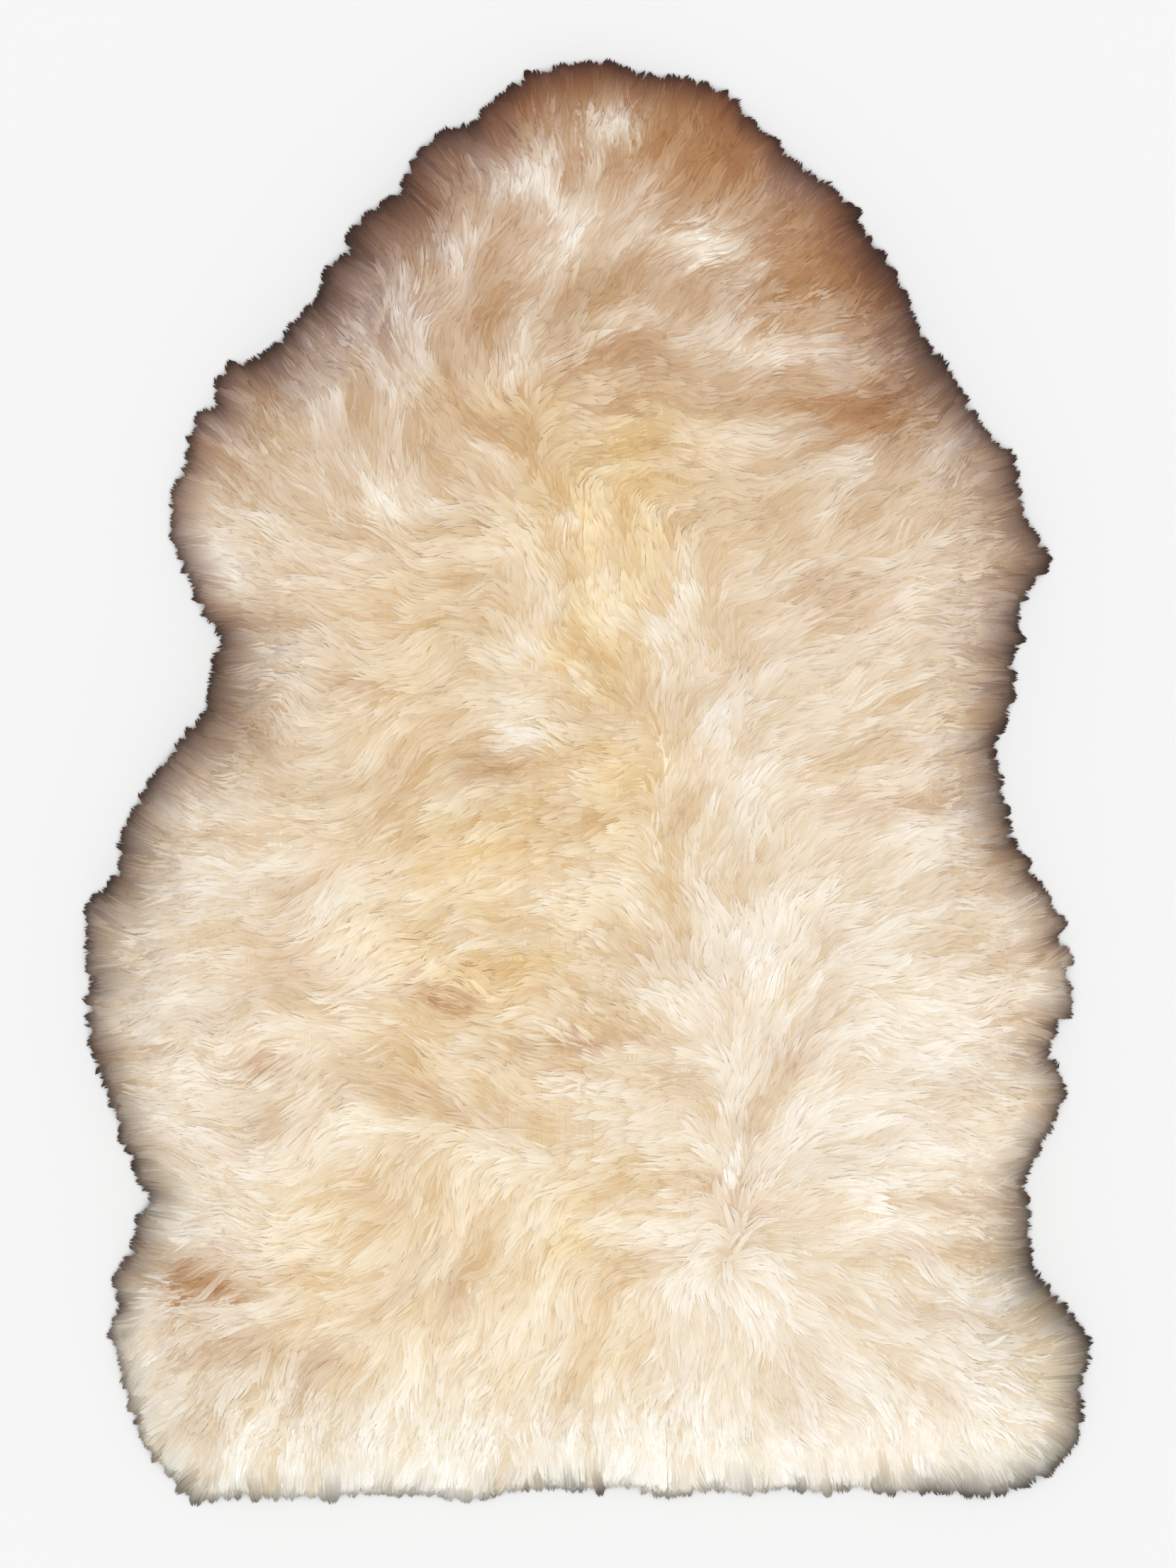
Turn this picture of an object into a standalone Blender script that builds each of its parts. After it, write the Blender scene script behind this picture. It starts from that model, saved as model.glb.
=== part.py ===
"""A sheepskin rug, lying flat with its wool up.

It is made as the real one is: one tanned hide, cut to the shape of the pelt, and the fleece that
grows on it. The fleece is a lumpy slab of long wool, combed outwards, that rolls down to the floor
past the hide's edge and ends all round in pointed locks. X runs across the rug, Y from its tail to
its neck, and Z up. The origin is the middle of the rug's box, at floor level.
"""

import math
import random

import bmesh
import bpy
from mathutils import Matrix, Vector, noise
from mathutils.geometry import delaunay_2d_cdt

MM = 0.001

# The rug as a whole, from its tail to its neck. The tables below are in millimetres too, and are
# drawn for a rug of the second length.
RUG_LENGTH = 950.0
DRAWN_LENGTH = 950.0

# The hide is the tanned skin. The wool hides it from above.
HIDE_THICKNESS = 2.0
WOOL_OVERHANG = 36.0  # from the hide's edge out to the tips of the wool
CLEARANCE = 0.3  # between the hide and the wool solid on it

# The fleece is about as deep as long wool that has been combed over to lie on its side.
CROWN_HEIGHT = 43.0
SHOULDER_WIDTH = 92.0  # how far in from the rim the fleece reaches its full height
ROOT_HEIGHT = 11.0  # of the rim that the locks leave
SWELL_DEPTH = 5.0  # the uneven lie of the wool, as broad swells
SWELL_SPAN = 130.0

# The tufts on top, each a low ridge that lies the way the wool is combed.
TUFT_SPACING = 46.0
TUFT_STRAY = 0.36  # how far a tuft may lie from its place in the rows, as a share of the spacing
TUFT_LENGTH = (64.0, 104.0)
TUFT_WIDTH = (28.0, 40.0)
TUFT_LIFT = (-2.0, 6.5)
TUFT_SKEW = 24.0  # how many degrees a tuft may turn from the combed direction

# The wool is combed away from the middle of the back: a line along the rug, between two heights
# above the tail.
BACK_LOW, BACK_HIGH = 250.0, 750.0

# The locks round the rim, each with four sides and a point.
LOCK_COUNT = 250
LOCK_REACH = 15.0  # from the rim to an average tip
LOCK_SPREAD = 4.5  # how much longer or shorter a lock may be
LOCK_STRAY = 0.25  # how far a root may shift along the rim, as a share of the spacing
LOCK_SWEEP = 0.22  # how far a lock may turn from straight out, as a slope
LOCK_WAIST = 0.55  # where along its reach a lock begins to taper
LOCK_WAIST_WIDTH = 0.42  # half of its width there, as a share of its root's
LOCK_WAIST_HEIGHT = 0.60  # its height there, as a share of its root's
LOCK_TIP_HEIGHT = 1.0

# How finely the solids are drawn.
CURVE_STEPS = 12  # points between two points of the outline's tables
TOP_SPACING = 16.5  # between points on top of the fleece
SHOULDER_RINGS = (9.0, 23.0)  # how far in the loops of points on the shoulder's steep part lie
GRID_MARGIN = 32.0  # how near the rim the points on top may come

# The outline of the wool, one row for each station along the rug: its height above the tail, and
# how far the wool reaches to the left and to the right of the rug's middle line.
UP, LEFT, RIGHT = range(3)
SIDE_ROWS = (
    (18, 274, 305),
    (45, 295, 325),
    (80, 305, 325),
    (105, 311, 333),
    (125, 315, 326),
    (142, 312, 305),
    (160, 307, 292),
    (180, 291, 290),
    (205, 297, 290),
    (235, 306, 299),
    (262, 313, 313),
    (285, 320, 315),
    (300, 325, 303),
    (318, 332, 323),
    (345, 330, 320),
    (375, 330, 314),
    (400, 325, 305),
    (425, 311, 288),
    (455, 299, 275),
    (485, 283, 271),
    (510, 264, 270),
    (535, 247, 280),
    (562, 247, 281),
    (585, 250, 285),
    (605, 262, 297),
    (622, 267, 305),
    (640, 275, 299),
    (660, 275, 289),
    (685, 264, 282),
    (706, 262, 266),
    (722, 257, 251),
    (740, 246, 241),
    (757, 216, 229),
    (780, 193, 219),
    (805, 175, 207),
    (826, 167, 195),
    (845, 154, 180),
    (862, 133, 166),
)
# The short edges at the neck and the tail: how far right of the middle line, and how far up.
ACROSS, RISE = range(2)
NECK_ROWS = (
    (148, 878),
    (130, 893),
    (112, 912),
    (95, 930),
    (66, 936),
    (42, 941),
    (19, 949),
    (-6, 947),
    (-38, 941),
    (-62, 925),
    (-84, 909),
    (-105, 896),
    (-120, 880),
)
TAIL_ROWS = (
    (-258, 4),
    (-215, 5),
    (-168, 7),
    (-112, 8),
    (-74, 2),
    (-52, 11),
    (-18, 12),
    (20, 12),
    (58, 4),
    (84, 11),
    (125, 10),
    (175, 12),
    (215, 11),
    (244, 4),
    (282, 7),
)

# The places where the wool stands up in a mound or has parted into a hollow: where each is, how
# long and wide it is, which way it runs in degrees from X, and how much it lifts the wool.
ALONG_X, ALONG_Y, LONG, WIDE, TURN, LIFT = range(6)
MOUND_ROWS = (
    (15, 900, 60, 34, 80, 5),
    (-50, 868, 60, 38, 100, 5),
    (-112, 742, 100, 45, 120, 5),
    (-128, 655, 90, 40, 110, 5),
    (66, 600, 90, 40, 95, 5),
    (128, 792, 120, 40, 30, 5),
    (108, 385, 110, 50, 80, 6),
    (-28, 515, 80, 32, 150, 5),
    (92, 228, 70, 45, 130, 7),
    (-231, 628, 100, 60, 160, 4),
    (252, 381, 110, 60, 10, 4),
    (-250, 345, 110, 80, 0, 4),
    (240, 100, 110, 70, 160, 4),
    (-215, 55, 110, 60, 60, 4),
)
HOLLOW_ROWS = (
    (-100, 343, 90, 24, 150, -9),
    (-76, 494, 110, 50, 165, -6),
    (-216, 288, 70, 36, 15, -6),
    (-244, 146, 70, 26, 170, -7),
    (-165, 98, 100, 34, 165, -7),
    (196, 443, 110, 45, 150, -6),
    (-30, 728, 110, 30, 165, -7),
    (80, 888, 90, 50, 140, -5),
    (172, 735, 130, 34, 20, -6),
    (20, 640, 90, 50, 90, -6),
    (103, 194, 90, 26, 165, -7),
    (-140, 175, 70, 50, 60, -6),
    (-108, 250, 60, 40, 90, -5),
)

SEED = 7
ALL_TRIANGLES = 0  # delaunay_2d_cdt's number for a plain triangulation, out to the convex hull
SAME_POINT = 1e-4


def closed_curve(points, steps):
    """The points of a smooth closed curve through the given ones (Catmull-Rom)."""
    curve = []
    count = len(points)
    for i in range(count):
        before, start, end, after = (points[(i + k) % count] for k in (-1, 0, 1, 2))
        for step in range(steps):
            t = step / steps
            curve.append(
                (
                    2 * start
                    + (end - before) * t
                    + (2 * before - 5 * start + 4 * end - after) * t**2
                    + (3 * start - before - 3 * end + after) * t**3
                )
                / 2
            )
    return curve


def evenly_spaced(curve, count, stray, rng):
    """count points round a closed curve, each moved along it by up to stray of their spacing."""
    ends = list(zip(curve, curve[1:] + curve[:1]))
    total = sum((b - a).length for a, b in ends)
    places = [(i + rng.uniform(0, 2 * stray)) * total / count for i in range(count)]
    found = []
    walked = 0.0
    for a, b in ends:
        span = (b - a).length
        while len(found) < count and places[len(found)] <= walked + span:
            found.append(a.lerp(b, max(0.0, (places[len(found)] - walked) / span)))
        walked += span
    return found


def outward_directions(loop, reach):
    """The direction straight out of a closed loop at each point, averaged over reach points."""
    count = len(loop)
    found = []
    for i in range(count):
        along = loop[(i + reach) % count] - loop[i - reach]
        found.append(Vector((along.y, -along.x)).normalized())
    return found


def inset(loop, distance):
    """A closed loop moved inwards by distance."""
    out = outward_directions(loop, 2)
    return [point - direction * distance for point, direction in zip(loop, out)]


def wool_outline():
    """The outline of the wool as a dense closed curve, running anticlockwise from the tail."""
    points = [Vector((row[RIGHT], row[UP])) for row in SIDE_ROWS]
    points += [Vector((row[ACROSS], row[RISE])) for row in NECK_ROWS]
    points += [Vector((-row[LEFT], row[UP])) for row in reversed(SIDE_ROWS)]
    points += [Vector((row[ACROSS], row[RISE])) for row in TAIL_ROWS]
    return closed_curve([point * RUG_LENGTH / DRAWN_LENGTH for point in points], CURVE_STEPS)


def distance_inside(point, loop):
    """How far a point lies from the nearest edge of a closed loop."""
    nearest = math.inf
    for a, b in zip(loop, loop[1:] + loop[:1]):
        edge = b - a
        share = max(0.0, min(1.0, (point - a).dot(edge) / edge.length_squared))
        nearest = min(nearest, (point - a - edge * share).length)
    return nearest


def is_inside(point, loop):
    """Whether a point lies inside a closed loop, by the crossings of a ray along +X."""
    inside = False
    for a, b in zip(loop, loop[1:] + loop[:1]):
        if (a.y > point.y) != (b.y > point.y):
            crossing = a.x + (point.y - a.y) * (b.x - a.x) / (b.y - a.y)
            inside = inside != (point.x < crossing)
    return inside


def lift_of(row, point):
    """How much one mound, hollow or tuft lifts the wool at a point."""
    turn = math.radians(row[TURN])
    away = point * DRAWN_LENGTH / RUG_LENGTH - Vector((row[ALONG_X], row[ALONG_Y]))
    along = away.x * math.cos(turn) + away.y * math.sin(turn)
    aside = away.y * math.cos(turn) - away.x * math.sin(turn)
    return row[LIFT] * math.exp(-((2 * along / row[LONG]) ** 2) - (2 * aside / row[WIDE]) ** 2)


def points_in_rows(rim, spacing, margin):
    """Points in staggered rows over the part of the fleece that lies further in than margin."""
    row_gap = spacing * math.sqrt(3) / 2
    found = []
    for row in range(int(RUG_LENGTH / row_gap)):
        for column in range(int(RUG_LENGTH / spacing)):
            point = Vector(((column + row % 2 / 2) * spacing - RUG_LENGTH / 2, row * row_gap))
            if is_inside(point, rim) and distance_inside(point, rim) > margin:
                found.append(point)
    return found


def combed_direction(point):
    """The way the wool lies at a point, in degrees from X: away from the middle of the back."""
    back = Vector((0, max(BACK_LOW, min(BACK_HIGH, point.y))))
    away = point - back
    return math.degrees(math.atan2(away.y, away.x))


def tuft_rows(rim, rng):
    """Rows like those of the mounds, one for each tuft."""
    stray = TUFT_STRAY * TUFT_SPACING
    rows = []
    for place in points_in_rows(rim, TUFT_SPACING, GRID_MARGIN):
        place += Vector((rng.uniform(-stray, stray), rng.uniform(-stray, stray)))
        turn = combed_direction(place) + rng.uniform(-TUFT_SKEW, TUFT_SKEW)
        sizes = (rng.uniform(*size) for size in (TUFT_LENGTH, TUFT_WIDTH))
        rows.append((*place, *sizes, turn, rng.uniform(*TUFT_LIFT)))
    return rows


def pile_height(point, depth, tufts):
    """The height of the wool at a point that lies depth inside the rim."""
    share = min(1.0, depth / SHOULDER_WIDTH)
    rolled = math.sqrt(1 - (1 - share) ** 2)
    swell = SWELL_DEPTH * noise.noise(Vector((point.x, point.y, 0)) / SWELL_SPAN)
    lifts = sum(lift_of(row, point) for row in (*MOUND_ROWS, *HOLLOW_ROWS, *tufts))
    return ROOT_HEIGHT + (CROWN_HEIGHT - ROOT_HEIGHT + swell + lifts) * rolled


def triangles_within(loop, others):
    """Triangles that fill a closed loop and use the other points, as indices into loop + others."""
    points = loop + others
    edges = [(i, (i + 1) % len(loop)) for i in range(len(loop))]
    made = delaunay_2d_cdt(points, edges, [], ALL_TRIANGLES, SAME_POINT, True)
    origin = [ids[0] for ids in made[3]]
    faces = [[origin[i] for i in face] for face in made[2]]
    return [face for face in faces if is_inside(sum((points[i] for i in face), Vector((0, 0))) / 3, loop)]


def new_vertices(mesh, loop, height):
    """One vertex for each point of a loop, all at one height."""
    return [mesh.verts.new((p.x, p.y, height)) for p in loop]


def join_loops(mesh, lower, upper):
    """A band of faces between two loops of vertices that match one to one, facing outwards."""
    for i in range(len(lower)):
        k = (i + 1) % len(lower)
        mesh.faces.new((lower[i], lower[k], upper[k], upper[i]))


def fill_flat(mesh, vertices, upwards):
    """Fills a flat loop of vertices with triangles that face up or down."""
    loop = [v.co.xy for v in vertices]
    for face in triangles_within(loop, []):
        corners = [vertices[i] for i in face]
        mesh.faces.new(corners if upwards else reversed(corners))


def cover_top(mesh, roots, rim, rng):
    """The lumpy top of the fleece, from the top of the rim inwards."""
    rings = [point for depth in SHOULDER_RINGS for point in inset(rim, depth)]
    inner = rings + points_in_rows(rim, TOP_SPACING, GRID_MARGIN)
    tufts = tuft_rows(rim, rng)
    heights = [pile_height(point, distance_inside(point, rim), tufts) for point in inner]
    vertices = roots + [mesh.verts.new((p.x, p.y, z)) for p, z in zip(inner, heights)]
    for face in triangles_within(rim, inner):
        mesh.faces.new([vertices[i] for i in face])


def add_lock(mesh, root, direction, reach):
    """One four-sided lock, from its root's four corners out to a point that rests on the floor.

    The corners run anticlockwise as seen from outside, from the lower one on the left."""
    low_left, low_right, high_right, high_left = root
    width = low_right.co.xy - low_left.co.xy
    middle = (low_left.co.xy + low_right.co.xy) / 2
    waist = middle + direction * reach * LOCK_WAIST
    tip = middle + direction * reach
    aside = width * LOCK_WAIST_WIDTH
    top = ROOT_HEIGHT * LOCK_WAIST_HEIGHT
    ring = [
        mesh.verts.new((waist.x + side * aside.x, waist.y + side * aside.y, height))
        for side, height in ((-1, 0), (1, 0), (1, top), (-1, top))
    ]
    point = mesh.verts.new((tip.x, tip.y, LOCK_TIP_HEIGHT))
    for i in range(4):
        k = (i + 1) % 4
        mesh.faces.new((root[i], root[k], ring[k], ring[i]))
        mesh.faces.new((ring[i], ring[k], point))


def add_locks(mesh, floor_loop, root_loop, rim, rng):
    """A lock on each stretch of the rim, each a little longer or shorter and swept to one side."""
    out = outward_directions(rim, 2)
    count = len(rim)
    for i in range(count):
        k = (i + 1) % count
        ahead = (out[i] + out[k]).normalized()
        aside = Vector((-ahead.y, ahead.x))
        direction = (ahead + aside * rng.uniform(-LOCK_SWEEP, LOCK_SWEEP)).normalized()
        reach = LOCK_REACH + rng.uniform(-LOCK_SPREAD, LOCK_SPREAD)
        root = (floor_loop[i], floor_loop[k], root_loop[k], root_loop[i])
        add_lock(mesh, root, direction, reach)


def fleece_mesh(rim, rng):
    """The wool: its underside with a shallow seat for the hide, its locks, and its lumpy top."""
    mesh = bmesh.new()
    seat_edge = inset(rim, WOOL_OVERHANG - LOCK_REACH - CLEARANCE)
    seat_height = HIDE_THICKNESS + CLEARANCE
    seat = new_vertices(mesh, seat_edge, seat_height)
    seat_foot = new_vertices(mesh, seat_edge, 0)
    floor_loop = new_vertices(mesh, rim, 0)
    root_loop = new_vertices(mesh, rim, ROOT_HEIGHT)
    fill_flat(mesh, seat, upwards=False)
    join_loops(mesh, seat, seat_foot)
    join_loops(mesh, seat_foot, floor_loop)
    add_locks(mesh, floor_loop, root_loop, rim, rng)
    cover_top(mesh, root_loop, rim, rng)
    return mesh


def hide_mesh(rim):
    """The tanned skin, a flat sheet of even thickness."""
    mesh = bmesh.new()
    edge = inset(rim, WOOL_OVERHANG - LOCK_REACH)
    lower = new_vertices(mesh, edge, 0)
    upper = new_vertices(mesh, edge, HIDE_THICKNESS)
    fill_flat(mesh, lower, upwards=False)
    join_loops(mesh, lower, upper)
    fill_flat(mesh, upper, upwards=True)
    return mesh


def new_material(name, colour, roughness):
    """A plain material from an sRGB hex colour."""
    channels = [int(colour[i : i + 2], 16) / 255 for i in (1, 3, 5)]
    linear = [c / 12.92 if c <= 0.04045 else ((c + 0.055) / 1.055) ** 2.4 for c in channels]
    material = bpy.data.materials.new(name)
    material.use_nodes = True
    shader = material.node_tree.nodes["Principled BSDF"]
    shader.inputs["Base Color"].default_value = (*linear, 1)
    shader.inputs["Roughness"].default_value = roughness
    shader.inputs["Metallic"].default_value = 0
    return material


def new_object(name, mesh, material):
    """A named object from a mesh that is drawn in millimetres."""
    bmesh.ops.scale(mesh, vec=(MM, MM, MM), verts=mesh.verts)
    data = bpy.data.meshes.new(name)
    mesh.to_mesh(data)
    mesh.free()
    data.materials.append(material)
    made = bpy.data.objects.new(name, data)
    bpy.context.scene.collection.objects.link(made)
    return made


def centre_on_origin(objects):
    """Moves the rug so that the middle of its box, at floor level, is the origin."""
    corners = [vertex.co for thing in objects for vertex in thing.data.vertices]
    middle = [(min(c[k] for c in corners) + max(c[k] for c in corners)) / 2 for k in (0, 1)]
    for thing in objects:
        thing.data.transform(Matrix.Translation((-middle[0], -middle[1], 0)))


def main():
    for thing in list(bpy.data.objects):
        bpy.data.objects.remove(thing)
    rng = random.Random(SEED)
    outline = inset(wool_outline(), LOCK_REACH)
    rim = evenly_spaced(outline, LOCK_COUNT, LOCK_STRAY, rng)
    fleece = new_object("fleece", fleece_mesh(rim, rng), new_material("wool", "#E9D9BE", 0.9))
    hide = new_object("hide", hide_mesh(rim), new_material("tanned_hide", "#D8C29E", 0.85))
    fleece.data.shade_smooth()
    centre_on_origin([fleece, hide])


main()
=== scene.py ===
# %% [markdown]
# # A sheepskin rug
#
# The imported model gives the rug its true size: a thin tanned hide, and on it a lumpy slab of wool
# with locks round its rim. This lesson grows real wool on that slab: first comes the shape of the
# pelt, then the way the wool is combed, then its colour, and at last the strands themselves, which
# are many small closed shapes joined into a few meshes.
#
# Lengths inside the lesson are millimetres, and a mesh is turned to metres when it is made.

import math

import bpy
import numpy as np
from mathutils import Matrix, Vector, noise
from mathutils.bvhtree import BVHTree


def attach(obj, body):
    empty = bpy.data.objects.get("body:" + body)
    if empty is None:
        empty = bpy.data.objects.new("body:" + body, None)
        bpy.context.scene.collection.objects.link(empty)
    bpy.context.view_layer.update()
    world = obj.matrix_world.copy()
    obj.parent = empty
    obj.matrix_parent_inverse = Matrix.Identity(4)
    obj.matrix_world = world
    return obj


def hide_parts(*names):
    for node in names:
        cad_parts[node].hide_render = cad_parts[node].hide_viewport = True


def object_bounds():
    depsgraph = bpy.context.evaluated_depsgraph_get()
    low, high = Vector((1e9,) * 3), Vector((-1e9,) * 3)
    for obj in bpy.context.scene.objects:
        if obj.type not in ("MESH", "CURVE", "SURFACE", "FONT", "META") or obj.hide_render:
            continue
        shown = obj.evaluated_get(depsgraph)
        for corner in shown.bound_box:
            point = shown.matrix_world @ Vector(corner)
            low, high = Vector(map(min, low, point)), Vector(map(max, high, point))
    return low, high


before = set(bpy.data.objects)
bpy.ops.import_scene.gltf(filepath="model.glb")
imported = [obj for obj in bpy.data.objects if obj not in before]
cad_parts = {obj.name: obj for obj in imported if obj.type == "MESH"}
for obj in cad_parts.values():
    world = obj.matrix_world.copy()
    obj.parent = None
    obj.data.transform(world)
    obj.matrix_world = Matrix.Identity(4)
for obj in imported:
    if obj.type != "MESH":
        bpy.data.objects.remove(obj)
cad_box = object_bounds()
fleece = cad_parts["fleece"]
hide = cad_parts["hide"]
MM = 0.001
low, high = (np.array(corner) / MM for corner in cad_box)
print("the rug's box in mm:", low.round(1), high.round(1))

# %% [markdown]
# ## Helpers for materials
#
# Colours are given as sRGB hex codes, but a shader works with linear light, so one function turns
# the first into the second. Another adds a shader node with all that it needs, and one lays colours
# over each other like glazes, so that a material reads like a recipe.

# %% Colour and node helpers
def colour(code):
    """The linear colour of an sRGB hex code."""
    channels = [int(code[i : i + 2], 16) / 255 for i in (1, 3, 5)]
    return (*(c / 12.92 if c <= 0.04045 else ((c + 0.055) / 1.055) ** 2.4 for c in channels), 1)


def fed(tree, made, inputs):
    """Gives a node's inputs their values, or links them to other nodes' outputs."""
    for name, value in inputs.items():
        if isinstance(value, bpy.types.NodeSocket):
            tree.links.new(value, made.inputs[name])
        else:
            made.inputs[name].default_value = value
    return made


def node(tree, kind, inputs=None, **settings):
    """A new node with its inputs and settings."""
    made = tree.nodes.new(kind)
    for name, value in settings.items():
        setattr(made, name, value)
    return fed(tree, made, inputs or {})


def layered(tree, shade, layers):
    """A colour with layers laid over it. Each has its share, its colour and how it is laid."""
    settings = {"data_type": "RGBA", "clamp_factor": True}
    for share, over, kind in layers:
        inputs = {0: share, 6: shade, 7: over}
        shade = node(tree, "ShaderNodeMix", inputs, blend_type=kind, **settings).outputs[2]
    return shade


def new_material(name, finish):
    """A material whose main shader has this finish, and its node tree and shader."""
    material = bpy.data.materials.new(name)
    material.use_nodes = True
    tree = material.node_tree
    return material, tree, fed(tree, tree.nodes["Principled BSDF"], finish)


# %% [markdown]
# ## The view
#
# The rug is seen from straight above. A long lens from far up keeps the rim true, as tall wool would
# otherwise lean outwards. The frame is worked out from where the rug begins and ends in it.

# %% Camera
PICTURE_HIGH = 2212  # pixels
RUG_TOP, RUG_BOTTOM = 82, 2126  # rows of pixels where the wool begins and ends
CAMERA_HEIGHT = 6.0  # metres
pixel = (high[1] - low[1]) * MM / (RUG_BOTTOM - RUG_TOP)
shown_height = pixel * PICTURE_HIGH
centre_below = (PICTURE_HIGH / 2 - (RUG_TOP + RUG_BOTTOM) / 2) * pixel

bpy.ops.object.select_all(action="DESELECT")
bpy.ops.object.camera_add(location=(0, -centre_below, CAMERA_HEIGHT), rotation=(0, 0, 0))
camera = bpy.context.object
camera.data.lens = camera.data.sensor_width * CAMERA_HEIGHT / shown_height
bpy.context.scene.camera = camera
print("picture:", round(shown_height / MM), "mm high; lens:", round(camera.data.lens), "mm")

# %% [markdown]
# ## Floor and light
#
# A pale floor and soft studio light. More than half of the light comes from all round, which lets
# the deep wool glow instead of going black. The rest comes from one very large soft lamp on the
# tail's side, so that the slopes which face the neck fall into a little shade. It is a sun lamp with
# a wide disk, as that lights the whole floor evenly.

# %% Floor and light
FLOOR_SIZE = 80.0  # metres, so that a low view doesn't see its end
bpy.ops.object.select_all(action="DESELECT")
bpy.ops.mesh.primitive_plane_add(size=FLOOR_SIZE, location=(0, 0, 0))
floor = bpy.context.object
floor.name = "floor"
paper = {"Base Color": colour("#EAEAEA"), "Roughness": 0.9, "Specular IOR Level": 0.1}
floor.data.materials.append(new_material("pale_studio_paper", paper)[0])

LAMP_COMES_FROM = Vector((0.75, -2.6, 3.0))
LAMP_SPREAD = math.radians(60)
LAMP_STRENGTH = 0.85
bpy.ops.object.light_add(type="SUN", location=LAMP_COMES_FROM)
lamp = bpy.context.object
lamp.data.energy = LAMP_STRENGTH
lamp.data.angle = LAMP_SPREAD
lamp.rotation_euler = LAMP_COMES_FROM.to_track_quat("Z", "Y").to_euler()

ROOM_LIGHT = 0.93  # as bright as the lit floor, so that no horizon shows
world = bpy.data.worlds.new("soft_room")
world.use_nodes = True
sky = {"Color": colour("#FFFFFF"), "Strength": ROOM_LIGHT}
fed(world.node_tree, world.node_tree.nodes["Background"], sky)
bpy.context.scene.world = world
bpy.context.scene.view_settings.view_transform = "Standard"

# %% [markdown]
# ## The shape of the pelt
#
# Everything that follows asks the same few questions at many places: how high does the wool stand
# here, how far is the rim, and which way is out? The answers are worked out once, on a square grid
# over the rug, and read between its points after that. The height comes from dropping a ray onto
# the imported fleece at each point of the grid.

# %% A grid over the rug, and how to read it
GRID_STEP, GRID_MARGIN = 4.0, 24.0
KEPT_BACK = 1.001  # off a count of points, so that there is always a next one to read
start, stop = low - GRID_MARGIN, high + GRID_MARGIN
columns, rows = (np.arange(start[axis], stop[axis], GRID_STEP) for axis in (0, 1))
grid = np.stack(np.meshgrid(columns, rows), axis=-1)
shape = grid.shape[:2]
print(len(columns), "by", len(rows), "points on the grid")


def read(field, points):
    """The values of a field on the grid at any points, shared out between its four neighbours."""
    last = (len(columns) - KEPT_BACK, len(rows) - KEPT_BACK)
    place = np.clip((points - grid[0, 0]) / GRID_STEP, 0, last)
    column, row = np.moveaxis(place.astype(int), -1, 0)
    extra = (1,) * (field.ndim - 2)
    across, up = (part.reshape(part.shape + extra) for part in np.moveaxis(place % 1, -1, 0))
    lower = field[row, column] * (1 - across) + field[row, column + 1] * across
    upper = field[row + 1, column] * (1 - across) + field[row + 1, column + 1] * across
    return lower * (1 - up) + upper * up


def softened(field, times):
    """A field averaged with its neighbours, over and over."""
    for _ in range(times):
        for axis in (0, 1):
            field = (np.roll(field, 1, axis) + 2 * field + np.roll(field, -1, axis)) / 4
    return field


def clouds(span, seed):
    """Smooth noise on the grid, from about -1 to 1, in lumps about span wide."""
    found = [noise.noise(Vector((x / span, y / span, seed))) for x, y in grid.reshape(-1, 2)]
    return np.array(found).reshape(shape)


def slope_of(field):
    """How fast a field on the grid grows across and up, for each millimetre."""
    return np.stack(np.gradient(field, GRID_STEP)[::-1], axis=-1)


def unit(vectors):
    """The same directions with length 1."""
    return vectors / np.maximum(np.linalg.norm(vectors, axis=-1, keepdims=True), 1e-9)


# %% The height of the pile
SKY = 0.5  # metres, well above the wool
FACETS_SOFTENED = 5  # times, to smooth the slab's facets


def places_of(piece):
    """Where a piece's vertices are, in millimetres."""
    return np.array([v.co[:] for v in piece.data.vertices]) / MM


def heights_of(piece, places):
    """How high a piece's top is at each place, in millimetres, and 0 beside it."""
    corners = [v.co.copy() for v in piece.data.vertices]
    tree = BVHTree.FromPolygons(corners, [p.vertices[:] for p in piece.data.polygons])
    hits = [tree.ray_cast(Vector((x * MM, y * MM, SKY)), Vector((0, 0, -1)))[0] for x, y in places]
    return np.array([hit.z / MM if hit else 0.0 for hit in hits])


pile = heights_of(fleece, grid.reshape(-1, 2)).reshape(shape)
pile = softened(pile, FACETS_SOFTENED)
print("the pile is up to", pile.max().round(1), "mm high")

# %% [markdown]
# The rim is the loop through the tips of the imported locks. They all lie at one small height above
# the floor, so that is how they are found. Walking round the rug, a tip's turn comes by where it
# lies from the middle of the back, which is a line along the rug and not a point.
#
# That loop has the outline's large swings. Its small bumps and notches are the ends of single wisps
# of wool, so the loop is pushed out or in for each of them here.

# %% The rim
TIP_HEIGHT, TIP_MARGIN = 1.0, 0.1  # a tip's height, give or take
BACK_LOW, BACK_HIGH = -225.0, 275.0  # the ends of the back's line
TURN_RADIUS = 100.0


def from_back(points):
    """The way from the nearest point of the back's line to each point."""
    nearest = np.clip(points[..., 1], BACK_LOW, BACK_HIGH)
    return points - np.stack((np.zeros_like(nearest), nearest), axis=-1)


found = places_of(fleece)
rim_tips = found[abs(found[:, 2] - TIP_HEIGHT) < TIP_MARGIN][:, :2]
rim_tips = np.unique(rim_tips.round(2), axis=0)

# They are sorted by turn, up the right side from the tail and then down the left one.
away = from_back(rim_tips)
angle = np.arctan2(away[:, 1], away[:, 0])
along = rim_tips[:, 1] - away[:, 1] - BACK_LOW
going_up = angle * TURN_RADIUS + along
going_down = angle % (2 * np.pi) * TURN_RADIUS + 2 * (BACK_HIGH - BACK_LOW) - along
rim_tips = rim_tips[np.argsort(np.where(away[:, 0] > 0, going_up, going_down))]
print(len(rim_tips), "locks round the rim")

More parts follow.
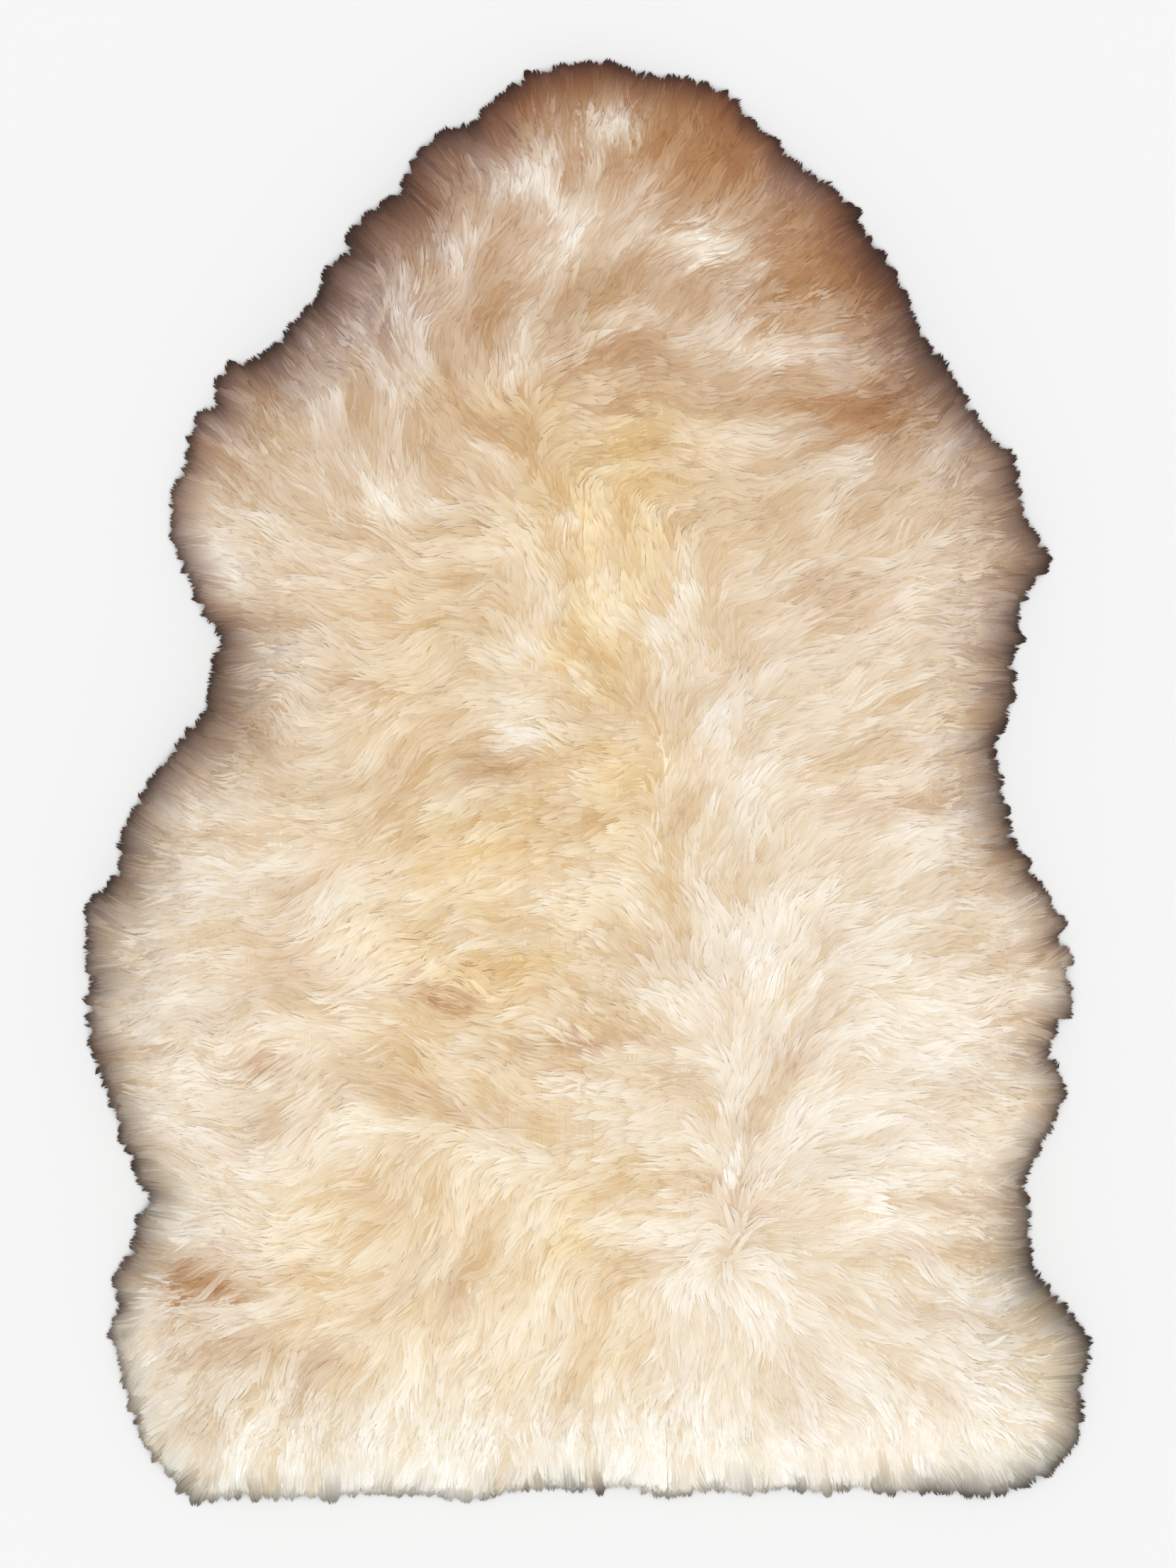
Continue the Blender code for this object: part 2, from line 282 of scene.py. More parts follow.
# Bumps and notches of the rim: across, up, how far along the rim each reaches, and how far out.
RIM_BUMPS = (
    (-155, 374, 7, 6), (-130, 392, 12, -6), (-76, 433, 8, -6), (-58, 457, 16, -4), (-165, 351, 7, -6),
    (-183, 323, 14, -6), (91, 454, 16, 4), (179, 364, 10, -3), (-240, 278, 11, 6), (-251, 252, 7, -9),
    (-268, 211, 11, -4), (-280, 176, 12, -3), (-249, 94, 9, -6), (-257, 48, 16, -3), (-320, -60, 15, -9),
    (-333, -133, 6, -6), (-313, -226, 9, -3), (-309, -252, 13, -8), (-293, -271, 5, -7), (-301, -289, 9, 8),
    (-313, -325, 10, 4), (-312, -342, 6, -6), (-305, -414, 16, -3), (-272, -465, 13, -4),
    (-200, -471, 40, -2), (292, -61, 11, -4), (310, -92, 4, 9), (315, -113, 7, 7), (312, -159, 9, -10),
    (302, -176, 6, -6), (291, -261, 13, -5), (321, -431, 9, 4), (221, -468, 24, -2), (138, -468, 12, -3),
    (278, 216, 13, 5), (286, 188, 6, 4), (300, 147, 13, 7), (284, 95, 5, 4), (278, 82, 6, -3),
    (308, -101, 4, -4),
)
RIM_FILL = 4  # points of the rim for each lock


def filled(loop, count):
    """A closed loop with count points for each one that it had, spread evenly."""
    share = np.arange(count)[:, None] / count
    return (loop[:, None] * (1 - share) + np.roll(loop, -1, 0)[:, None] * share).reshape(-1, 2)


def bumped(loop):
    """A closed loop, anticlockwise, with the small bumps and notches of the rim."""
    ahead = np.roll(loop, -1, 0) - np.roll(loop, 1, 0)
    out = unit(np.stack((ahead[:, 1], -ahead[:, 0]), axis=-1))
    for across, up, reach, far in RIM_BUMPS:
        near = np.exp(-((loop - (across, up)) ** 2).sum(-1) / reach**2)
        loop = loop + far * near[:, None] * out
    return loop


rim = (np.roll(rim_tips, 1, 0) + rim_tips + np.roll(rim_tips, -1, 0)) / 3
rim = bumped(filled(rim, RIM_FILL))
print(len(RIM_BUMPS), "bumps and notches in it")


def inside_of(points, loop):
    """How far inside a closed loop each point lies, less than 0 outside, and the way out of it."""
    inside = np.zeros(len(points), bool)
    nearest = np.zeros_like(points)
    best = np.full(len(points), np.inf)
    for start, end in zip(loop, np.roll(loop, -1, 0)):
        edge = end - start
        share = np.clip((points - start) @ edge / (edge @ edge), 0, 1)
        foot = start + share[:, None] * edge
        gap = np.linalg.norm(points - foot, axis=1)
        closer = gap < best
        best[closer], nearest[closer] = gap[closer], foot[closer]
        passes = (start[1] > points[:, 1]) != (end[1] > points[:, 1])
        if passes.any():
            crossing = start[0] + (points[:, 1] - start[1]) * edge[0] / edge[1]
            inside ^= passes & (points[:, 0] < crossing)
    side = np.where(inside, 1.0, -1.0)
    return best * side, unit((nearest - points) * side[:, None])


depth, way_out = inside_of(grid.reshape(-1, 2), rim)
depth, way_out = depth.reshape(shape), way_out.reshape(grid.shape)
covered = np.count_nonzero(depth > 0) * (GRID_STEP * MM) ** 2
print("the wool covers", round(covered, 3), "square metres")

# %% [markdown]
# Near the rim the pile comes down to the floor in a shoulder. Strands bend at only two places each,
# and would cut through each other on a sharp shoulder, so it is rounded more than the rest.

# %% The shoulder of the pile
RIM_RISE = 0.85  # how steeply the wool rises at the rim, at most
SHOULDER_SOFTENED = 8  # times
SHOULDER_WIDE, SHOULDER_FADES = 75.0, 30.0  # how far in that reaches, and fades at its end
NORMAL_SOFTENED = 3  # times
steepest = TIP_HEIGHT + RIM_RISE * np.maximum(depth, 0)
rounded = softened(np.minimum(pile, steepest), SHOULDER_SOFTENED)
rounding = np.clip((SHOULDER_WIDE - depth) / SHOULDER_FADES, 0, 1)
pile = np.minimum(pile + (rounded - pile) * rounding, steepest)
pile_slope = slope_of(softened(pile, NORMAL_SOFTENED))
pile_normal = unit(np.concatenate((-pile_slope, np.ones_like(pile_slope[..., :1])), axis=-1))
print("the pile is now up to", pile.max().round(1), "mm high")

# %% [markdown]
# ## The way the wool is combed
#
# Wool has a lie. It runs from the middle of the back to the edges, it springs apart like a fountain
# here and there, and no formula gives that. So the strokes of the comb are listed one by one: each
# has a place and a heading, in degrees anticlockwise from the right, and turns the wool for a few
# centimetres round it. Small waves, which only bend the wool and never gather it, come on top.

# %% Strokes of the comb
COMB_STROKES = (
    (12, 459, 92), (-32, 450, 97), (-86, 414, 118), (-112, 396, 125), (-139, 370, 138), (-166, 334, 125),
    (-184, 299, 124), (-41, 396, 100), (9, 427, 90), (39, 393, 76), (66, 390, 60), (-68, 352, 68),
    (-100, 352, 102), (-32, 343, 42), (-86, 311, 30), (-23, 315, 58), (3, 325, 50), (39, 347, 38),
    (66, 370, 38), (-139, 325, 112), (-121, 263, 117), (-166, 263, 122), (-175, 227, 126), (-59, 290, 95),
    (3, 281, 25), (39, 290, 22), (75, 281, 18), (39, 259, -3), (3, 250, -8), (-68, 254, 120),
    (-90, 232, 150), (30, 459, 82), (65, 441, 62), (92, 423, 52), (119, 396, 53), (145, 379, 50),
    (172, 361, 42), (190, 334, 45), (204, 307, 42), (217, 280, 48), (234, 254, 48), (261, 218, 46),
    (92, 361, 36), (137, 361, 36), (101, 331, 30), (145, 329, 26), (48, 318, 40), (65, 299, 26),
    (110, 290, 46), (154, 302, 28), (92, 268, 12), (137, 272, 10), (181, 272, 18), (199, 245, 22),
    (65, 240, -6), (119, 251, 6), (163, 227, 15), (217, 227, 40), (-219, 262, 133), (-153, 262, 120),
    (-248, 224, 140), (-191, 233, 130), (-143, 224, 127), (-124, 214, 102), (-261, 195, 146),
    (-219, 205, 143), (-172, 195, 140), (-134, 184, 86), (-267, 167, 155), (-219, 167, 155),
    (-172, 167, 150), (-105, 172, 150), (-67, 172, 152), (-257, 129, 158), (-210, 138, 163),
    (-162, 138, 148), (-124, 144, 174), (-86, 146, 194), (-248, 100, 162), (-200, 110, 172),
    (-153, 110, 160), (-105, 105, 204), (-238, 80, 185), (-205, 72, 178), (-134, 81, 190), (-229, 50, 164),
    (-248, 34, 155), (-191, 43, 167), (-210, 5, 158), (-115, 43, 235), (-77, 62, 200), (-39, 90, 125),
    (-28, 122, 104), (-13, 150, 98), (-58, 40, 168), (64, 133, 106), (47, 95, 118), (107, 133, 40),
    (133, 150, 55), (150, 176, 38), (150, 130, 8), (141, 98, 20), (141, 64, 22), (90, 66, 60),
    (124, 12, 40), (81, 0, 66), (107, 219, -2), (-275, -4, 157), (-227, -8, 157), (-284, -28, 156),
    (-227, -38, 172), (-298, -53, 192), (-170, -19, 176), (-142, 0, 232), (-284, -76, 187),
    (-322, -95, 175), (-322, -130, 174), (-246, -85, 183), (-208, -95, 180), (-151, -76, 232),
    (-132, -47, 225), (-95, -76, 206), (-76, -95, 204), (-128, -106, 205), (-313, -171, 196),
    (-227, -123, 183), (-189, -161, 183), (-227, -180, 196), (-151, -161, 177), (-100, -165, 150),
    (-57, -171, 165), (-47, 31, 165), (-3, 22, 178), (6, -1, 190), (-3, -23, 198), (68, -10, 84),
    (77, -50, 95), (95, -32, 80), (122, -10, 38), (140, -37, 50), (59, -67, 125), (33, -85, 140),
    (6, -87, 165), (-3, -62, 180), (65, -90, 118), (91, -90, 100), (104, -108, 88), (122, -112, 68),
    (145, -115, 48), (131, -147, 50), (104, -138, 78), (84, -138, 100), (66, -147, 152), (33, -147, 155),
    (6, -142, 147), (24, -115, 150), (42, -183, 168), (6, -171, 152), (68, -192, 182), (122, -176, 45),
    (-38, -192, 162), (-65, -156, 172), (-92, -210, 152), (-38, -115, 184), (-101, -58, 198),
    (-65, -67, 208), (-74, 4, 200), (-302, -204, 198), (-273, -215, 196), (-214, -205, 200),
    (-302, -227, 184), (-263, -243, 173), (-224, -252, 168), (-283, -268, 182), (-234, -282, 182),
    (-283, -285, 192), (-175, -272, 200), (-292, -303, 172), (-253, -301, 176), (-302, -325, 156),
    (-283, -360, 208), (-292, -382, 217), (-244, -331, 184), (-253, -370, 205), (-273, -409, 230),
    (-245, -438, 246), (-234, -409, 240), (-204, -419, 255), (-171, -409, 264), (-175, -448, 262),
    (-136, -419, 262), (-136, -458, 269), (-97, -409, 258), (-67, -429, 262), (-87, -360, 250),
    (-67, -330, 242), (-97, -300, 250), (-106, -258, 250), (-165, -215, 200), (-155, -255, 205),
    (-204, -311, 190), (-195, -341, 197), (-175, -370, 205), (-146, -350, 215), (-126, -384, 245),
    (-23, -205, 168), (36, -205, 184), (104, -200, 60), (133, -194, 42), (163, -209, 20), (195, -194, 6),
    (212, -223, 4), (153, -232, 30), (94, -245, 126), (124, -252, 35), (173, -251, 8), (75, -266, 165),
    (55, -286, 190), (20, -272, 196), (124, -286, 26), (173, -282, 2), (221, -294, -5), (143, -317, -18),
    (192, -321, -17), (153, -350, -35), (192, -360, -30), (221, -350, -22), (231, -389, -30),
    (173, -389, -45), (124, -360, -58), (104, -389, -75), (133, -409, -66), (182, -419, -60),
    (221, -429, -60), (75, -360, -97), (36, -389, -98), (65, -412, -88), (6, -389, -110), (-23, -389, -102),
    (-4, -350, -110), (-33, -340, -112), (-4, -301, 205), (-43, -300, 236), (104, -438, -90),
    (-4, -438, -92), (192, -448, -74), (187, 200, 28), (232, 205, 38), (269, 200, 28), (143, 210, 14),
    (98, 195, 0), (128, 193, 20), (232, 170, 24), (269, 168, 12), (187, 156, 27), (247, 145, 17),
    (180, 129, 25), (217, 128, 18), (269, 118, 8), (187, 105, 22), (247, 100, 7), (158, 85, 20),
    (232, 85, 6), (276, 85, 0), (245, 50, 8), (195, 45, 18), (180, 10, 25), (235, 10, 16), (250, -25, 14),
    (200, -30, 24), (280, -80, 26), (209, -86, 19), (173, -95, 27), (244, -112, 8), (191, -118, 12),
    (209, -148, 4), (262, -148, 5), (182, -166, 14), (262, -193, -5), (298, -201, -8), (244, -235, 0),
    (262, -273, -5), (300, -330, 8), (320, -371, -5), (285, -400, -22), (310, -440, -38), (265, -448, -56),
    (230, -455, -70),
)
COMB_REACH = 21.0  # how far from its middle a stroke is felt
COMB_SOFTENED = 2  # times
OUTWARD_PULL = 0.0004  # for each mm from the back, where no stroke came near
WAVES = ((70.0, 0.22), (30.0, 0.30))  # how long the small waves are, and how strong
RIM_PULL, RIM_REACH = 0.8, 13.0  # how much the rim's wool turns straight out, and how far in

comb = OUTWARD_PULL * from_back(grid)
for across, up, heading in COMB_STROKES:
    gap = grid - (across, up)
    felt = np.exp(-(gap**2).sum(-1, keepdims=True) / (2 * COMB_REACH**2))
    comb += felt * (math.cos(math.radians(heading)), math.sin(math.radians(heading)))
comb = unit(softened(unit(comb), COMB_SOFTENED))
for number, (span, strength) in enumerate(WAVES):
    swirl = slope_of(clouds(span, 10.5 + number)) * span
    comb += strength * np.stack((swirl[..., 1], -swirl[..., 0]), axis=-1)
outwards = RIM_PULL * np.exp(-np.maximum(depth, 0) / RIM_REACH)[..., None]
comb = unit(unit(comb) * (1 - outwards) + way_out * outwards)
print(len(COMB_STROKES), "strokes of the comb")

# %% [markdown]
# ## Where the wool is golden, tan, pale or dark
#
# No fleece is of one colour. This one is cream, golden over the middle of the back where it is
# short, tan towards the neck and almost white by the tail. That change from neck to tail is partly
# its own colour and partly painted light and shade, brighter on the side the light comes from. Over
# that come painted shade in the partings and hollows, pale patches that are partly its own colour
# and partly painted highlights on the tops of its tufts, and a dark painted shade along its very
# rim, where the wool curves down to the floor. Each tint is a number from 0 to 1 over the grid, made
# of a few soft patches. The material then turns the numbers into colours.

# %% Tints
# Each patch: across, up, how far it reaches aside, how far up and down, and its strength in percent.
GOLD_PATCHES = (
    (20, 190, 90, 60, 55), (10, 80, 50, 90, 94), (-40, -30, 110, 70, 38), (-70, -140, 90, 90, 56),
    (-40, -370, 150, 45, 52), (-150, -290, 60, 50, 64), (35, 235, 40, 20, 30), (-60, 250, 50, 20, 30),
    (-10, -290, 80, 40, 62), (-100, -200, 25, 45, 35), (-38, -117, 22, 5, 60), (0, 22, 40, 4, 45),
    (40, -240, 40, 30, 25), (-110, 60, 50, 90, 35), (-150, -120, 50, 50, 12),
)
# Tan: partly the wool's own tan towards the neck, and partly painted shade in the partings between tufts.
TAN_PATCHES = (
    (0, 480, 190, 50, 90), (75, 436, 56, 38, 135), (110, 396, 36, 34, 15), (-95, 392, 44, 34, 55),
    (162, 350, 50, 44, 100), (195, 320, 40, 50, 60), (112, 300, 26, 9, 12), (150, 262, 60, 6, 30),
    (185, 243, 40, 12, 60), (120, 246, 55, 5, 30), (140, 203, 30, 4, 45), (165, 222, 26, 7, 45),
    (205, 215, 20, 14, 35), (80, 196, 30, 26, 16), (-222, 200, 40, 14, 20), (-150, 160, 28, 5, 35),
    (-124, 143, 20, 4, 35), (160, 125, 34, 16, 35), (190, 165, 24, 7, 25), (-40, 300, 60, 12, 20),
    (80, 436, 34, 24, 60), (60, 62, 18, 26, 20), (-60, 8, 40, 16, 40), (195, 15, 40, 12, 20),
    (192, -20, 32, 12, 50), (228, -14, 20, 7, 35), (105, -44, 7, 4, 50), (43, 56, 12, 10, 25),
    (-75, 14, 22, 9, 30), (-100, -134, 17, 6, 130), (-78, -144, 18, 5, 70), (-85, -170, 14, 12, 35),
    (-12, -169, 34, 6, 75), (-142, -145, 18, 6, 45), (-214, -189, 22, 7, 60), (-211, -221, 16, 12, 50),
    (-85, 45, 34, 34, 30), (-50, -176, 22, 6, 40), (-262, -322, 24, 12, 60), (-39, 358, 22, 7, 50),
    (-51, 253, 9, 5, 70), (20, 263, 50, 4, 40), (150, 250, 22, 5, 30), (-235, 205, 34, 26, 20),
    (-120, 125, 60, 30, 8), (50, 425, 22, 18, 80), (12, 455, 50, 12, 80), (-244, -333, 26, 9, 75),
    (-250, -355, 36, 26, 20), (-215, -372, 26, 7, 45), (-178, -372, 24, 6, 35), (82, -262, 30, 8, 45),
    (128, -178, 16, 8, 40), (75, -80, 12, 10, 35), (-285, -306, 26, 5, 55), (-245, 78, 16, 8, 40),
    (-175, -38, 26, 9, 30), (-150, 62, 22, 6, 25), (60, -370, 8, 50, 25), (-168, -438, 4, 24, 25),
    (160, -100, 16, 12, 30), (205, -310, 40, 5, 20), (215, -345, 30, 6, 25), (245, -195, 34, 18, 14),
    (288, -152, 22, 12, 55), (291, -104, 20, 16, 45),
)
# Pale: partly the wool's own paler colour, and partly painted light by the tail and on the tops of tufts.
PALE_PATCHES = (
    (0, -475, 330, 46, 50), (12, 430, 17, 14, 120), (-41, 398, 14, 16, 55), (-20, 378, 10, 16, 55),
    (0, 360, 34, 26, 50), (220, -435, 100, 44, 90), (150, -360, 60, 30, 35), (-155, 205, 34, 26, 30),
    (75, 352, 26, 20, 15), (110, 60, 60, 80, 30), (0, 45, 30, 26, 25), (-255, 150, 34, 40, 25),
    (-160, 325, 12, 16, 55), (-118, 262, 12, 16, 55), (-90, 350, 26, 10, 45), (-134, 182, 12, 12, 70),
    (-108, 176, 16, 6, 55), (-14, 172, 12, 7, 75), (-28, 122, 12, 26, 55), (-41, 88, 9, 10, 65),
    (64, 130, 9, 22, 75), (48, 98, 10, 16, 60), (-48, 38, 26, 6, 70), (-40, 26, 14, 5, 60),
    (80, 46, 12, 22, 40), (120, 2, 40, 12, 45), (100, -20, 10, 12, 40), (108, -115, 16, 36, 75),
    (86, -120, 12, 26, 50), (-235, -60, 60, 60, 30), (-240, 140, 50, 34, 50), (-265, 160, 24, 34, 25),
    (-190, -162, 34, 12, 45), (-270, -240, 50, 30, 40), (94, -246, 9, 16, 95), (128, -252, 16, 9, 65),
    (200, -160, 80, 60, 24), (150, 310, 24, 7, 45), (120, 282, 24, 7, 40), (178, 202, 40, 7, 40),
    (250, 120, 40, 40, 30), (210, -30, 40, 10, 40), (80, -330, 60, 40, 25), (250, -230, 60, 70, 16),
    (40, 300, 50, 8, 35), (76, 345, 22, 7, 45), (-85, -172, 12, 20, 35), (-30, -75, 16, 6, 35),
    (60, 354, 40, 8, 45), (104, 332, 10, 4, 80), (100, 286, 20, 10, 35), (148, 287, 18, 8, 40),
    (-160, 285, 34, 30, 25), (84, 282, 34, 24, 15), (-10, -120, 26, 20, 15), (-110, -330, 60, 40, 12),
    (-112, 345, 24, 20, 15), (-205, 85, 24, 20, 25), (0, 410, 26, 12, 35),
)
MOTTLES = ((26.0, 0.6), (10.4, 0.4))  # how wide the lumps in a patch are, and how strong


def patchy(patches, seed):
    """The tint that a table of patches gives, a little uneven."""
    total = 0
    for across, up, wide, tall, percent in patches:
        away = (grid - (across, up)) / (wide, tall)
        total += percent / 100 * np.exp(-(away**2).sum(-1))
    uneven = 1 + sum(strength * clouds(span, seed) for span, strength in MOTTLES)
    return np.clip(total * uneven, 0, 1)


# %% The painted shade of the rim
# A painted shade darkens the rim, where the wool curves down to the floor and falls into shade. It
# fades inwards, fast by the tail and slowly by the neck, which lies away from the light. At each of
# these spots: across, up, and how far in it has faded to a third.
RIM_SHADE_SPOTS = (
    (0, -475, 2.9), (-150, -475, 3.2), (150, -475, 2.4), (-300, -440, 3.8), (320, -435, 7),
    (-320, -270, 13), (330, -250, 9), (300, -310, 14), (325, -380, 31), (-330, -155, 17), (320, -155, 10),
    (-310, -55, 22), (290, -55, 11.5), (-250, 85, 28), (270, 40, 21), (-275, 165, 6.5), (300, 145, 28),
    (260, 240, 22), (-190, 330, 34), (200, 350, 29), (165, 392, 30), (-100, 430, 25), (100, 440, 10.5),
    (0, 475, 12),
)
RIM_SHADE_SPOT_SIZE = 60.0
RIM_SHADE_CLOUDS = ((60.0, 31.5, 0.45), (18.0, 35.5, 0.35))  # how wide, which seed, and how strong
RIM_SHADE_POWER = 1.2  # over 1, so that it stays dark a little way in
SHORTEST_FADE, OUTERMOST = 2.0, 1.0  # the least that it reaches, and the least depth
BARELY = 1e-6  # what a spot weighs even far away
spots = np.array(RIM_SHADE_SPOTS)
gaps = np.linalg.norm(grid[..., None, :] - spots[:, :2], axis=-1)
weights = np.exp(-(gaps**2) / (2 * RIM_SHADE_SPOT_SIZE**2)) + BARELY
reach = (weights * spots[:, 2]).sum(-1) / weights.sum(-1)
uneven = 1 + sum(strength * clouds(span, seed) for span, seed, strength in RIM_SHADE_CLOUDS)
fade = np.maximum(reach * uneven, SHORTEST_FADE)
# The share of painted shade: near 1 at the rim, and less further in.
rim_painted_shade = np.exp(-((np.maximum(depth, OUTERMOST) / fade) ** RIM_SHADE_POWER))
print("it fades over", fade[depth > 0].min().round(1), "to", fade[depth > 0].max().round(1), "mm")

# %% Hollows and streaks
# Wool that lies lower than what is round it gets a tan painted shade, but not on the slope down to the rim.
HOLLOW_TIMES = 70
PAINTED_SHADE_PER_HOLLOW, MOST_HOLLOW_PAINTED_SHADE = 0.03, 0.35
SLOPE_WIDE = 30.0
hollow = softened(pile, HOLLOW_TIMES) - pile
hollow_painted_shade = np.clip(PAINTED_SHADE_PER_HOLLOW * hollow, 0, MOST_HOLLOW_PAINTED_SHADE) * (depth > SLOPE_WIDE)


def smeared(field, reach):
    """A field averaged along the comb, which draws its lumps out into streaks."""
    met = [field]
    for way in (-GRID_STEP, GRID_STEP):
        spot = grid
        for _ in range(round(reach / GRID_STEP)):
            spot = spot + way * unit(read(comb, spot))
            met.append(read(field, spot))
    return np.mean(met, axis=0)


# Between the patches the shade still comes and goes, in streaks from lock to lock.
STREAKY_SPANS = ((12.0, 22.0, 0.125), (34.0, 30.0, 0.08))  # how wide, how long, and how strong
NECK_STREAKS = 0.9  # how much stronger they are on the neck
NECK_BEGINS, NECK_FULL = 180.0, 300.0
streaky = 0
for number, (span, reach, strength) in enumerate(STREAKY_SPANS):
    drawn_out = smeared(clouds(span, 36.5 + number), reach)
    streaky += strength * drawn_out / drawn_out.std()
streaky *= 1 + NECK_STREAKS * np.clip((grid[..., 1] - NECK_BEGINS) / (NECK_FULL - NECK_BEGINS), 0, 1)
# The tan adds the painted shade of the hollows to the tan patches and the streaks.
tan = np.clip(patchy(TAN_PATCHES, 33.5) + hollow_painted_shade + np.maximum(streaky, 0), 0, 1)
pale = np.clip(patchy(PALE_PATCHES, 34.5) + np.maximum(-streaky, 0) * (1 - tan), 0, 1)
tints = np.stack((patchy(GOLD_PATCHES, 32.5), tan, pale, rim_painted_shade), axis=-1)
print("mean gold, tan, pale and dark:", tints[depth > 0].mean(axis=0).round(2))

# %% [markdown]
# ## The wool's material
#
# Wool is a translucent fibre with fine scales: it scatters most of the light, shines a little along
# its length and has a soft halo where it is seen at a grazing angle. So the shader is rough, with a
# low gloss and a sheen. A strand is golden brown at its root, where dust and lanolin stay, and ivory
# at its tip. Along the rug the tip's colour goes from tan at the neck to cream at the tail, partly
# the wool's own colour and partly painted shade, darker towards the neck. The tints lay painted
# shade in the hollows and along the rim, and painted highlights on the tufts. Fine streaks along a
# strand are its fibres, drawn ten times as coarse as the real ones, which are only 0.03 mm thick and
# wouldn't show.

# %% Wool materials
# The tip's colour, from the tail, 0, to the neck, 1: partly the wool's own tint and partly painted shade,
# darker towards the neck.
RUG_RAMP = (
    (0.00, "#F3F8F5"), (0.12, "#F9F5EC"), (0.45, "#F3EADB"), (0.62, "#ECDFCC"), (0.80, "#DAC8B5"),
    (0.92, "#C9AA8F"), (1.00, "#B28B70"),
)
GOLD, TAN, PALE = colour("#F3DDAE"), colour("#BF966F"), colour("#FDFBF6")
ROOT, DARK_STRAND, DARK_FIBRE = colour("#EFE2CB"), colour("#E6D4B9"), colour("#F1E8DA")
# The rim's painted shade: first a warm tint, warmer by the neck, and then a near black.
TAIL_RIM_SHADE_TINT, NECK_RIM_SHADE_TINT, RIM_SHADE_DARK = colour("#FFFFF9"), colour("#FFCBC4"), colour("#24130C")
STREAK_WIDTH, STREAK_LENGTH = 0.35, 14.0  # mm


def tail_to_neck(tree):
    """How far a place lies from the tail, 0, to the neck, 1, and the wool's colour there, with painted
    shade.
    """
    place = node(tree, "ShaderNodeTexCoord").outputs["Object"]
    up = node(tree, "ShaderNodeSeparateXYZ", {"Vector": place}).outputs["Y"]
    limits = {"From Min": low[1] * MM, "From Max": high[1] * MM}
    share = node(tree, "ShaderNodeMapRange", {"Value": up, **limits}).outputs["Result"]
    ramp = node(tree, "ShaderNodeValToRGB", {"Fac": share})
    stops = ramp.color_ramp.elements
    stops.remove(stops[1])
    for position, code in RUG_RAMP:
        stop = stops[0] if position == 0 else stops.new(position)
        stop.color = colour(code)
    return share, ramp.outputs["Color"]


def wool_material(name, root_share, sheen):
    """Wool, whose strands turn to their root's colour over root_share of their length."""
    finish = {"Roughness": 0.62, "Specular IOR Level": 0.22, "IOR": 1.55, "Sheen Roughness": 0.45}
    material, tree, shader = new_material(name, {**finish, "Sheen Weight": sheen})
    looks = ("tint", "along", "tone", "rim_painted_shade", "fibre")
    looks = [node(tree, "ShaderNodeAttribute", attribute_name=look).outputs for look in looks]
    tint, along, tone, rim_painted_shade, fibre = looks
    tint = node(tree, "ShaderNodeSeparateColor", {"Color": tint["Color"]}).outputs
    along = {"Value": along["Fac"], "From Min": root_share, "From Max": 0.0}
    rooted = node(tree, "ShaderNodeMapRange", along).outputs["Result"]
    drawn = {"Vector": fibre["Vector"], "Scale": (1 / STREAK_WIDTH, 1 / STREAK_LENGTH, 1.0)}
    drawn = node(tree, "ShaderNodeMapping", drawn).outputs["Vector"]
    streaks = node(tree, "ShaderNodeTexNoise", {"Vector": drawn, "Scale": 1.0, "Detail": 1.0})
    streaks = {"Value": streaks.outputs["Fac"], "From Min": 0.35, "From Max": 0.75}
    streaked = node(tree, "ShaderNodeMapRange", streaks).outputs["Result"]
    share, shade = tail_to_neck(tree)
    # The warm tint of the rim's painted shade, warmer towards the neck.
    rim_shade_tint = layered(tree, TAIL_RIM_SHADE_TINT, [(share, NECK_RIM_SHADE_TINT, "MIX")])
    layers = (
        (tint["Red"], GOLD, "MIX"),
        (tint["Green"], TAN, "MIX"),
        (tint["Blue"], PALE, "MIX"),
        (rooted, ROOT, "MULTIPLY"),
        (tone["Fac"], DARK_STRAND, "MULTIPLY"),
        (streaked, DARK_FIBRE, "MULTIPLY"),
        # Last, the painted shade along the rim: its warm tint, and then its near black.
        (rim_painted_shade["Fac"], rim_shade_tint, "MULTIPLY"),
        (rim_painted_shade["Fac"], RIM_SHADE_DARK, "MIX"),
    )
    fed(tree, shader, {"Base Color": layered(tree, shade, layers)})
    return material


combed_wool = wool_material("combed_wool", 0.70, 0.15)
matted_wool = wool_material("matted_wool", 1.0, 0.1)
TONE_LOST = 0.6  # how much evener the shade of pale wool is


def set_looks(mesh, places, along, tone, fibre, fades=1.0, stray=0.0):
    """Stores what the wool's materials read at each vertex, with tints from stray beside it."""
    tint = read(tints, places + stray)
    tone = tone.reshape(tint.shape[:-1]) * (1 - TONE_LOST * tint[..., 2])
    looks = (
        ("tint", "FLOAT_COLOR", "color", tint),
        # The rim's painted shade, raised to each strand's own power.
        ("rim_painted_shade", "FLOAT", "value", read(rim_painted_shade, places) ** fades),
        ("along", "FLOAT", "value", along),
        ("tone", "FLOAT", "value", tone),
        ("fibre", "FLOAT_VECTOR", "vector", fibre),
    )
    for name, kind, field, values in looks:
        made = mesh.attributes.new(name, kind, "POINT")
        made.data.foreach_set(field, np.ascontiguousarray(values, np.float32).ravel())


# %% [markdown]
# ## The under-wool
#
# Between the strands one must never see the hide. On the real rug the dense roots of the wool close
# that view, so the first piece is a bed of matted under-wool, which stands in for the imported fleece.
# It is modelled as one would cut felt to shape: a sheet of small squares, trimmed a little inside
# the rim, draped over the pile's height, and then thickened down to the hide. Nothing but strands
# reaches past it, so that they alone make the rug's outline.

